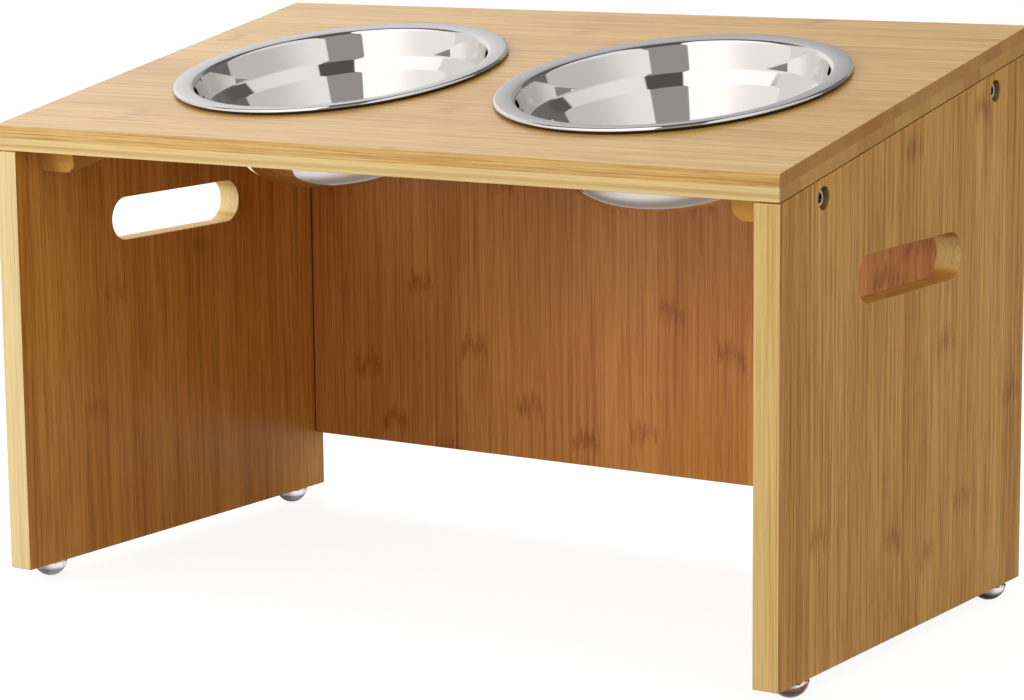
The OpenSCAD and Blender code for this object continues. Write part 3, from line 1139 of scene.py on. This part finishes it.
@dataclass
class SidePanel:
    """An upright side panel with its handle slot and two screw bores."""

    side: Side
    slope: Slope
    slot_length: float = 122 * MM
    slot_height: float = 26 * MM
    slot_z: float = 208.53 * MM
    bore_radius: float = 6 * MM
    bore_depth: float = 9 * MM
    bore_steps: int = 48
    joint_gap: float = 0.6 * MM
    outward: float = 0.7
    ease: Ease = field(default_factory=lambda: Ease(0.8 * MM, 0.6 * MM, 0.6 * MM, 0.6 * MM))
    # Painted light and shade: warmer and more saturated for the shaded inner face, with a paler cut colour
    # for the lit front edge
    left_light_and_shade_finish: BambooFinish = BambooFinish(
        "bamboo_left_light_and_shade",
        seed=10.0,
        pale=(0.95, 0.485, 0.112, 1.0),
        warm=(0.80, 0.354, 0.06, 1.0),
        cut=(0.92, 0.76, 0.40, 1.0),
        fibre=0.75,
        end_tone=0.15,
        bare=0.9,
    )
    right_finish: BambooFinish = BambooFinish(
        "bamboo_right_side",
        seed=12.0,
        pale=(0.90, 0.53, 0.155, 1.0),
        cut=(0.86, 0.62, 0.26, 1.0),
        fibre=1.0,
        fineness=1.3,
        knuckle=0.6,
        knuckle_pitch=560.0,
    )
    outer_finish: BambooFinish = replace(right_finish, name="bamboo_left_outer", seed=14.0)
    # Painted shade: the screw bores take a much darker copy of the bamboo for the shade inside them
    bore_shade_finish: BambooFinish = BambooFinish(
        "bamboo_painted_bore_shade",
        seed=8.0,
        pale=(0.36, 0.205, 0.06, 1.0),
        warm=(0.28, 0.15, 0.04, 1.0),
        cut=(0.38, 0.23, 0.075, 1.0),
    )

    def build(self) -> Object:
        """Builds and dresses the panel.

        Returns:
            The panel.
        """
        low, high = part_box("right_panel")
        outline = [
            (low.y, low.z),
            (high.y, low.z),
            (high.y, self.slope.underside(high.y) - self.joint_gap),
            (low.y, self.slope.underside(low.y) - self.joint_gap),
        ]
        upright = Matrix(((0, 0, 1, low.x), (1, 0, 0, 0), (0, 1, 0, 0), (0, 0, 0, 1)))
        stretch = self.slot_length - self.slot_height
        board = Board(
            rear=outline,
            face=outline,
            thickness=high.x - low.x,
            place=mirrored(self.side) @ upright,
            through=[Opening(0, self.slot_z, self.slot_height / 2, stretch=stretch)],
            blind=[self.bore(end) for end in End],
            ease=self.ease,
        )
        form = board.form()
        if self.side is Side.LEFT:
            # Painted light and shade: the left panel's inner face and edges take a copy of the bamboo that is
            # warmer and more saturated for the shaded inside and paler on the lit front edge; its outer face
            # takes a copy of the right panel's plain finish
            finishes = (self.left_light_and_shade_finish, self.bore_shade_finish, self.outer_finish)
            for face in form.faces:
                if face.material_index == 0 and face.normal.x * self.side.value > self.outward:
                    face.material_index = finishes.index(self.outer_finish)
        else:
            finishes = (self.right_finish, self.bore_shade_finish)
        corner = Vector((min(self.side.value * low.x, self.side.value * high.x), 0, 0))
        materials = [finish.material(Grain.UP_SIDE, self.slope.angle, corner) for finish in finishes]
        word = self.side.word
        piece = Piece(f"{word}_side_panel", "stand", "bamboo_side", (f"{word}_panel",))
        return piece.add(form, *materials)

    def bore(self, end: End) -> Opening:
        """Finds the bore round the head of one end's screw."""
        middle = box_middle(f"right_{end.word}_screw")
        return Opening(middle.y, middle.z, self.bore_radius, depth=self.bore_depth, steps=self.bore_steps)


@dataclass
class BackPanel:
    """The back panel between the side panels, with a painted line of shade in the gap at each end."""

    slope: Slope
    joint_gap: float = 0.9 * MM
    joint_depth: Point = (0.3 * MM, 1.2 * MM)
    ease: Ease = field(default_factory=lambda: Ease(0.4 * MM, 0.5 * MM, 0.5 * MM))
    finish: BambooFinish = BambooFinish(
        "bamboo_back",
        seed=33.0,
        pale=(0.845, 0.39, 0.094, 1.0),
        warm=(0.70, 0.283, 0.053, 1.0),
        dark=(0.50, 0.30, 0.10, 1.0),
        ply=10.0,
        fibre=0.75,
        fineness=1.4,
        knuckle=0.7,
        knuckle_pitch=230.0,
        gloss=0.52,
    )
    # Painted shade: a near-black finish for the shade in the gaps at the panel's ends
    joint_shade_finish: BambooFinish = BambooFinish(
        "painted_joint_shade", seed=9.0, pale=(0.03, 0.015, 0.006, 1.0), warm=(0.022, 0.011, 0.005, 1.0)
    )

    def build(self) -> Object:
        """Builds and dresses the panel.

        Returns:
            The panel.
        """
        low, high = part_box("back_panel")

        def outline(y: float) -> list[Point]:
            """The panel's outline on the face at one depth."""
            left, right, top = low.x + self.joint_gap, high.x - self.joint_gap, self.slope.underside(y)
            return [(left, low.z), (right, low.z), (right, top), (left, top)]

        board = Board(
            rear=outline(high.y),
            face=outline(low.y),
            thickness=high.y - low.y,
            place=Matrix(((1, 0, 0, 0), (0, 0, -1, high.y), (0, 1, 0, 0), (0, 0, 0, 1))),
            ease=self.ease,
        )
        form = board.form()
        # Painted shade: a near-black box in each end's gap, just behind the front face
        near, far = (low.y + depth for depth in self.joint_depth)
        top = self.slope.underside(near) - self.joint_gap
        for end in (low.x, high.x - self.joint_gap):
            first = Vector((end, near, low.z + self.joint_gap))
            last = Vector((end + self.joint_gap, far, top))
            self.joint(form, first, last)
        finishes = (self.finish, self.joint_shade_finish)
        corner = Vector((0, high.y, 0))
        materials = [finish.material(Grain.UP_BACK, self.slope.angle, corner) for finish in finishes]
        return Piece("back_board", "stand", "bamboo_back", ("back_panel",)).add(form, *materials)

    def joint(self, form: Form, first: Vector, last: Vector) -> None:
        """Adds the painted shade in one end's gap: a near-black box standing in for the shade there.

        Args:
            form: the panel's form.
            first: the line's lowest corner.
            last: the line's highest corner.
        """
        place = Matrix.Translation((first + last) / 2) @ Matrix.Diagonal((*(last - first), 1.0))
        made = bmesh.ops.create_cube(form, size=1.0, matrix=place)
        for face in {face for vert in made["verts"] for face in vert.link_faces}:
            face.material_index = 1


@dataclass
class Rail:
    """A rail under the top board along a side panel, rounded on its inner lower edge."""

    side: Side
    slope: Slope
    height: float = 18 * MM
    rounding: float = 5 * MM
    rounding_steps: int = 8
    ease: float = 0.5 * MM
    screw_pitch: float = 120 * MM
    head_radius: float = 4.1 * MM
    shank_radius: float = 2.1 * MM
    sink_depth: float = 2 * MM
    sink_steps: int = 32
    finish: BambooFinish = BambooFinish(
        "bamboo_rail",
        seed=41.0,
        pale=(0.86, 0.49, 0.13, 1.0),
        warm=(0.74, 0.375, 0.075, 1.0),
        strip_width=18.0,
        ply=13.0,
        fibre=0.4,
        knuckle=0.3,
        end_tone=0.1,
        bare=0.1,
        gloss=0.15,
    )

    def build(self) -> Object:
        """Builds and dresses the rail.

        Returns:
            The rail.
        """
        low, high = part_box("right_rail")
        front = low.y / math.cos(self.slope.angle)
        rear = (high.y - self.height * math.sin(self.slope.angle)) / math.cos(self.slope.angle)
        outline = [(low.x, -front), (high.x, -front), (high.x, -rear), (low.x, -rear)]
        sinks = [
            Opening(
                (low.x + high.x) / 2,
                end.value * self.screw_pitch / 2,
                self.head_radius,
                depth=self.sink_depth,
                floor_radius=self.shank_radius,
                steps=self.sink_steps,
            )
            for end in End
        ]
        board = Board(outline, outline, self.height, Matrix.Identity(4), blind=sinks)
        form = board.solid()

        def inner_low(edge: Edge) -> bool:
            """Tells whether an edge is the inner lower one."""
            return all(
                vert.co.x < low.x + TOUCH and vert.co.z > self.height - TOUCH for vert in edge.verts
            )

        round_off(form, board.sharp(form, inner_low), self.rounding, self.rounding_steps)
        round_off(form, board.sharp(form, lambda edge: not self.in_sink(edge, sinks)), self.ease, 2)
        settle(form, mirrored(self.side) @ self.slope.place @ Matrix.Rotation(math.pi, 4, "X"))
        word = self.side.word
        finish = replace(self.finish, name=f"bamboo_{word}_rail", seed=self.finish.seed + self.side.value)
        corner = Vector((min(self.side.value * low.x, self.side.value * high.x), 0, self.slope.middle_z))
        material = finish.material(Grain.ALONG_SLOPE, self.slope.angle, corner)
        return Piece(f"{word}_top_rail", "stand", "bamboo_side", (f"{word}_rail",)).add(form, material)

    def in_sink(self, edge: Edge, sinks: list[Opening]) -> bool:
        """Tells whether an edge belongs to a countersink.

        Args:
            edge: the edge.
            sinks: the rail's countersinks.

        Returns:
            True where it does.
        """
        middle = (edge.verts[0].co + edge.verts[1].co) / 2
        return middle.z > TOUCH and any(sink.holds(middle) for sink in sinks)


@dataclass
class Bowl:
    """A spun steel bowl that hangs in the top board by its flat rim."""

    side: Side
    slope: Slope
    pitch: float = 228 * MM
    sheet: float = 0.8 * MM
    base: Point = (59 * MM, -58.6 * MM)
    wall_low: Point = (78 * MM, -21 * MM)
    wall_high: Point = (85 * MM, -14 * MM)
    mouth: Point = (88 * MM, 2 * MM)
    rim: Point = (98.35 * MM, 3 * MM)
    lip_middle: Point = (98.35 * MM, 1.75 * MM)
    lip_turn: float = math.radians(230)
    lip_steps: int = 16
    bends: tuple[float, ...] = (26 * MM, 3 * MM, 3 * MM, 2.5 * MM)
    bend_steps: tuple[int, ...] = (16, 6, 6, 6)
    turn_steps: int = 192

    @property
    def place(self) -> Matrix:
        """The bowl's own axes, with the board's surface at zero."""
        middle = (self.side.value * self.pitch / 2, 0, self.slope.thickness)
        return self.slope.place @ Matrix.Translation(middle)

    def build(self, material: Material) -> Object:
        """Spins the bowl from half a section and rolls its lip.

        Args:
            material: the finish of both bowls.

        Returns:
            The bowl.
        """
        form = bmesh.new()
        corners = ((0.0, self.base[1]), self.base, self.wall_low, self.wall_high, self.mouth, self.rim)
        line = [form.verts.new((x, 0.0, z)) for x, z in corners]
        for first, second in zip(line, line[1:]):
            form.edges.new((first, second))
        bmesh.ops.spin(
            form,
            geom=[line[-1]],
            cent=(self.lip_middle[0], 0.0, self.lip_middle[1]),
            axis=(0, 1, 0),
            angle=self.lip_turn,
            steps=self.lip_steps,
        )
        for index, (bend, steps) in enumerate(zip(self.bends, self.bend_steps), 1):
            before, here, after = (Vector(corners[index + step]) for step in (-1, 0, 1))
            turn = (here - before).angle(after - here)
            bmesh.ops.bevel(
                form,
                geom=[line[index]],
                offset=bend * math.tan(turn / 2),
                offset_type="OFFSET",
                segments=steps,
                profile=0.5,
                affect="VERTICES",
                material=-1,
            )
        spin_round(form, self.turn_steps)
        settle(form, self.place)
        word = self.side.word
        piece = Piece(
            f"{word}_steel_bowl",
            f"{word}_bowl",
            "bowl_steel",
            (f"{word}_bowl",),
            weighted=False,
            sheet_thickness=self.sheet,
        )
        return piece.add(form, material)


@dataclass
class Feet:
    """Four clear domed feet under the side panels."""

    flat_radius: float = 3 * MM
    radius: float = 10.25 * MM
    arc_steps: int = 16
    turn_steps: int = 64

    def build(self, material: Material) -> None:
        """Spins and dresses the four feet.

        Args:
            material: the finish of all four.
        """
        for side in Side:
            for end in End:
                name = f"{side.word}_{end.word}_foot"
                low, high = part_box(name)
                middle = (low + high) / 2
                form = self.form(high.z - low.z)
                settle(form, Matrix.Translation((middle.x, middle.y, low.z)))
                Piece(f"{name}_dome", "stand", "clear_foot", (name,), weighted=False).add(form, material)

    def form(self, height: float) -> Form:
        """Spins one foot from the arc of its ball.

        Args:
            height: the foot's height.

        Returns:
            The form, standing on zero.
        """
        ball = (self.radius**2 + height**2 - self.flat_radius**2) / (2 * height)
        turn = math.atan2(height - ball, self.radius) - math.atan2(-ball, self.flat_radius)
        form = bmesh.new()
        start = form.verts.new((self.radius, 0, height))
        swept = bmesh.ops.spin(
            form, geom=[start], cent=(0, 0, ball), axis=(0, 1, 0), angle=turn, steps=self.arc_steps
        )
        last = only(Vert, swept["geom_last"])[0]
        form.edges.new((start, form.verts.new((0, 0, height))))
        form.edges.new((last, form.verts.new((0, 0, 0))))
        spin_round(form, self.turn_steps)
        return form


@dataclass
class Fasteners:
    """The screws, inserts and dowels, which keep their own solids."""

    zinc: FastenerMetal = FastenerMetal("screw_zinc", (0.97, 0.95, 0.96, 1.0), roughness=0.35, metallic=0.25)
    brass: FastenerMetal = FastenerMetal("insert_brass", (0.74, 0.53, 0.22, 1.0))
    beech: BambooFinish = BambooFinish(
        "dowel_beech",
        seed=5.0,
        pale=(0.68, 0.47, 0.27, 1.0),
        warm=(0.55, 0.34, 0.17, 1.0),
        strip_width=40.0,
        ply=40.0,
        knuckle=0.0,
    )

    def dress(self, slope: Slope) -> None:
        """Gives every fastener its finish.

        Args:
            slope: the top board's slope.
        """
        finishes = {
            "_screw": self.zinc.material(box_middle(f"right_{end.word}_screw") for end in End),
            "_insert": self.brass.material(),
            "_dowel": self.beech.material(Grain.ACROSS_TOP, slope.angle, Vector((0, 0, 0))),
        }
        for name, node in sorted(frame["nodes"].items()):
            for ending, material in finishes.items():
                if name.endswith(ending):
                    node.data.materials.clear()
                    node.data.materials.append(material)
                    LOG.info("%s is dressed as %s", name, material.name)


def aimed(at: Triple, aim: Triple) -> Quaternion:
    """The turn of a lamp or a camera that looks from one point at another."""
    return (Vector(aim) - Vector(at)).to_track_quat("-Z", "Y")


@dataclass(frozen=True)
class Lamp:
    """A soft square lamp that reflections don't show."""

    name: str
    at: Triple
    aim: Triple
    size: float
    power: float

    def add(self) -> None:
        """Adds the lamp and points it at its aim."""
        data = bpy.data.lights.new(self.name, "AREA")
        data.size = self.size
        data.energy = self.power
        made = bpy.data.objects.new(self.name, data)
        made.location = self.at
        made.rotation_euler = aimed(self.at, self.aim).to_euler()
        made.visible_glossy = False
        made.visible_transmission = False
        bpy.context.scene.collection.objects.link(made)


@dataclass
class Studio:
    """A pale floor, soft lamps, a studio for the reflections and the camera.

    The reflected studio's ramps run over a direction: aside to the right of the camera, up, or to the front.
    """

    camera_at: Triple = (0.9973, -1.4916, 0.4493)
    camera_aim: Triple = (0.0038, 0.0, 0.1415)
    camera_roll: float = math.radians(-0.578)
    lens: float = 109.93
    sensor: float = 36.0
    sight: float = 100.0
    lamps: tuple[Lamp, ...] = (
        Lamp("key_lamp", (-1.45, -1.83, 0.6), (0, 0, 0.15), 1.3, 24.0),
        Lamp("rear_lamp", (-1.2, 1.4, 1.6), (0, 0, 0.25), 0.5, 16.0),
        Lamp("side_lamp", (-2.3, -0.3, 0.9), (0, 0, 0.2), 1.3, 11.0),
    )
    ambient: float = 0.82
    ambient_tint: Colour = (1.0, 0.93, 0.83, 1.0)
    floor_size: float = 12.0
    floor_grey: Colour = (0.22, 0.232, 0.25, 1.0)
    floor_roughness: float = 0.9
    floor_seen: float = 0.88
    # The reflected floor's painted shadow: its warm tint and the ramps where it dims
    mirrored_shadow_tint: Colour = (1.0, 0.82, 0.66, 1.0)
    shade_front: Ramp = (-0.14, 0.04, 0.82, 0.24)
    shade_rear: Ramp = (0.15, 0.2, 0.0, 1.0)
    shade_right: Ramp = (0.22, 0.32, 1.0, 0.27)
    studio_tint: Triple = (1.0, 0.965, 0.94)
    gap_aside: float = 0.04
    gap_half_width: Ramp = (0.45, 0.95, 0.245, 0.16)
    gap_edge: Point = (-0.01, 0.01)
    gap_grey: Ramp = (0.72, 0.82, 0.35, 0.10)
    left_box: Ramp = (-0.98, -0.6, 1.0, 1.36)
    right_box: Ramp = (0.3, 0.95, 0.98, 0.62)
    room_flanks: Point = (0.85, 0.17)
    room_behind: Ramp = (-0.25, 0.15, 1.0, 0.38)
    behind_edge: Point = (-0.78, -0.68)
    room_high: float = 0.12
    high_edge: Point = (0.62, 0.7)
    front_edge: Point = (-0.22, -0.18)

    def build(self) -> None:
        """Builds the floor, the lamps, the world and the camera."""
        self.floor()
        for lamp in self.lamps:
            lamp.add()
        self.world()
        self.camera()
        bpy.context.scene.view_settings.view_transform = "Standard"

    def floor(self) -> None:
        """Adds the pale floor, which shows white to the camera and, in reflections, white with a painted
        shadow round the stand.
        """
        form = bmesh.new()
        bmesh.ops.create_grid(form, x_segments=1, y_segments=1, size=self.floor_size / 2)
        mesh = bpy.data.meshes.new("floor")
        form.to_mesh(mesh)
        form.free()
        made = bpy.data.objects.new("floor", mesh)
        bpy.context.scene.collection.objects.link(made)
        material, sheet, shader, coordinates = new_material("pale_floor")
        mesh.materials.append(material)
        shader["Base Color"].default_value = self.floor_grey
        shader["Roughness"].default_value = self.floor_roughness
        shader["Specular IOR Level"].default_value = 0.0
        ray = sheet.node("ShaderNodeLightPath").outputs
        aside, depth, _ = sheet.parts(coordinates["Object"])
        # Painted shadow: in reflections the floor is dimmed under the stand and to its right, and tinted warm
        # where dim
        glow = sheet.math(
            "MAXIMUM", sheet.span(depth, *self.shade_front), sheet.span(depth, *self.shade_rear)
        )
        glow = sheet.math("MINIMUM", glow, sheet.span(aside, *self.shade_right))
        reflected = sheet.math("MAXIMUM", ray["Is Glossy Ray"], ray["Is Transmission Ray"])
        seen = sheet.math("MULTIPLY", ray["Is Camera Ray"], self.floor_seen)
        seen = sheet.math("MAXIMUM", seen, sheet.math("MULTIPLY", reflected, glow))
        shaded = sheet.math("MULTIPLY", ray["Is Glossy Ray"], sheet.math("SUBTRACT", 1.0, glow))
        sheet.feed(shader["Emission Color"], sheet.mixed(shaded, WHITE, self.mirrored_shadow_tint))
        sheet.feed(shader["Emission Strength"], seen)

    def world(self) -> None:
        """Draws a white background, an even light, and soft boxes that only reflections show."""
        made = bpy.data.worlds.new("studio")
        bpy.context.scene.world = made
        made.use_nodes = True
        made.node_tree.nodes.clear()
        sheet = NodeSheet(made.node_tree)
        ray = sheet.node("ShaderNodeLightPath").outputs
        even, boxes, white = (sheet.node("ShaderNodeBackground") for _ in range(3))
        sheet.feed_all(even.inputs, (self.ambient_tint, self.ambient))
        sheet.feed(boxes.inputs["Color"], self.reflected(sheet))
        sheet.feed(white.inputs["Color"], WHITE)
        reflected = sheet.math("MAXIMUM", ray["Is Glossy Ray"], ray["Is Transmission Ray"])
        unseen, seen = (sheet.node("ShaderNodeMixShader") for _ in range(2))
        sheet.feed_all(unseen.inputs, (reflected, even.outputs[0], boxes.outputs[0]))
        sheet.feed_all(seen.inputs, (ray["Is Camera Ray"], unseen.outputs[0], white.outputs[0]))
        sheet.feed(sheet.node("ShaderNodeOutputWorld").inputs["Surface"], seen.outputs[0])

    def reflected(self, sheet: NodeSheet) -> Socket:
        """Draws what polished metal sees: two soft boxes with a grey gap between, and a grey room behind.

        Args:
            sheet: the world's sheet.

        Returns:
            The colour by direction.
        """
        towards = (Vector(self.camera_at) - Vector(self.camera_aim)).xy.normalized()
        way = sheet.node("ShaderNodeTexCoord").outputs["Generated"]
        front = sheet.vector("DOT_PRODUCT", way, (towards.x, towards.y, 0.0))
        aside = sheet.vector("DOT_PRODUCT", way, (-towards.y, towards.x, 0.0))
        up = sheet.parts(way)[2]
        on_right = sheet.math("GREATER_THAN", aside, 0.0)

        # Soft boxes in front: a bright one on the left, a paler one on the right, a grey gap between
        off = sheet.math("ABSOLUTE", sheet.math("ADD", aside, self.gap_aside))
        off = sheet.math("SUBTRACT", off, sheet.span(up, *self.gap_half_width))
        glow = sheet.either(on_right, sheet.span(aside, *self.left_box), sheet.span(aside, *self.right_box))
        box = sheet.either(sheet.span(off, *self.gap_edge), sheet.span(up, *self.gap_grey), glow)

        # The room: dark on the right, bright on the left and low down behind, dark high up behind
        flank = sheet.either(on_right, *self.room_flanks)
        behind = sheet.span(aside, *self.room_behind)
        room = sheet.either(sheet.span(front, *self.behind_edge), behind, flank)
        room = sheet.either(sheet.span(up, *self.high_edge), room, self.room_high)
        level = sheet.either(sheet.span(front, *self.front_edge), room, box)
        return sheet.vector("MULTIPLY", sheet.joined(level, level, level), self.studio_tint)

    def camera(self) -> None:
        """Adds the camera at the photograph's place."""
        data = bpy.data.cameras.new("camera")
        data.lens = self.lens
        data.sensor_width = self.sensor
        data.clip_end = self.sight
        made = bpy.data.objects.new("camera", data)
        turn = aimed(self.camera_at, self.camera_aim).to_matrix().to_4x4()
        roll = Matrix.Rotation(self.camera_roll, 4, "Z")
        made.matrix_world = Matrix.Translation(self.camera_at) @ turn @ roll
        bpy.context.scene.collection.objects.link(made)
        bpy.context.scene.camera = made


def main() -> None:
    """Builds the boards, the bowls, the feet and the studio."""
    logging.basicConfig(level=logging.INFO)
    slope = Slope.measured()
    TopBoard(slope).build()
    BackPanel(slope).build()
    for side in Side:
        SidePanel(side, slope).build()
        Rail(side, slope).build()
    steel = BowlSteel().material(Bowl(Side.RIGHT, slope).place)
    for side in Side:
        Bowl(side, slope).build(steel)
    Feet().build(ClearFoot().material())
    Fasteners().dress(slope)
    Studio().build()


if __name__ == "__main__":
    main()
